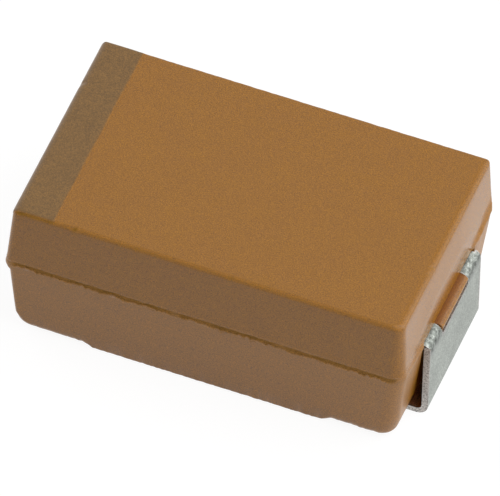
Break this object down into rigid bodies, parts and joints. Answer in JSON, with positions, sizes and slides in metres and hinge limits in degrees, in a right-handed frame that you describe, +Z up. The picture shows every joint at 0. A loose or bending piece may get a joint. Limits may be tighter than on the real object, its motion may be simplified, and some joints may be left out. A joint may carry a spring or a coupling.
{
  "type": "niobium oxide chip capacitor",
  "caption": "Moulded surface-mount capacitor: an orange-brown resin block with a polarity bar, tinned terminals folded under its ends and a coated anode pellet inside.",
  "frame": {"origin": "under the middle of the part, on the plane of the solder feet", "axes": "+X from the anode end, which carries the polarity bar, to the cathode end; +Z up, from the solder plane to the top face; +Y completes the right hand"},
  "size_m": [0.0074, 0.0042, 0.0029],
  "materials": {
    "moulded_resin": "satin, fine grain",
    "bar_ink": "matt",
    "tinned_strip": "matt tin plate",
    "sintered_oxide": "matt, porous",
    "niobium_wire": "drawn",
    "washer_polymer": "matt",
    "manganese_dioxide": "matt",
    "carbon": "dull",
    "silver_paint": "matt",
    "silver_glue": "matt"
  },
  "bodies": {
    "root": {"moulded_case": "moulded_resin", "anode_terminal": "tinned_strip", "cathode_terminal": "tinned_strip", "anode_pellet": "sintered_oxide", "anode_wire": "niobium_wire", "wire_washer": "washer_polymer", "manganese_dioxide_coat": "manganese_dioxide", "carbon_coat": "carbon", "silver_coat": "silver_paint", "silver_adhesive": "silver_glue", "polarity_bar": "bar_ink"}
  },
  "joints": []
}
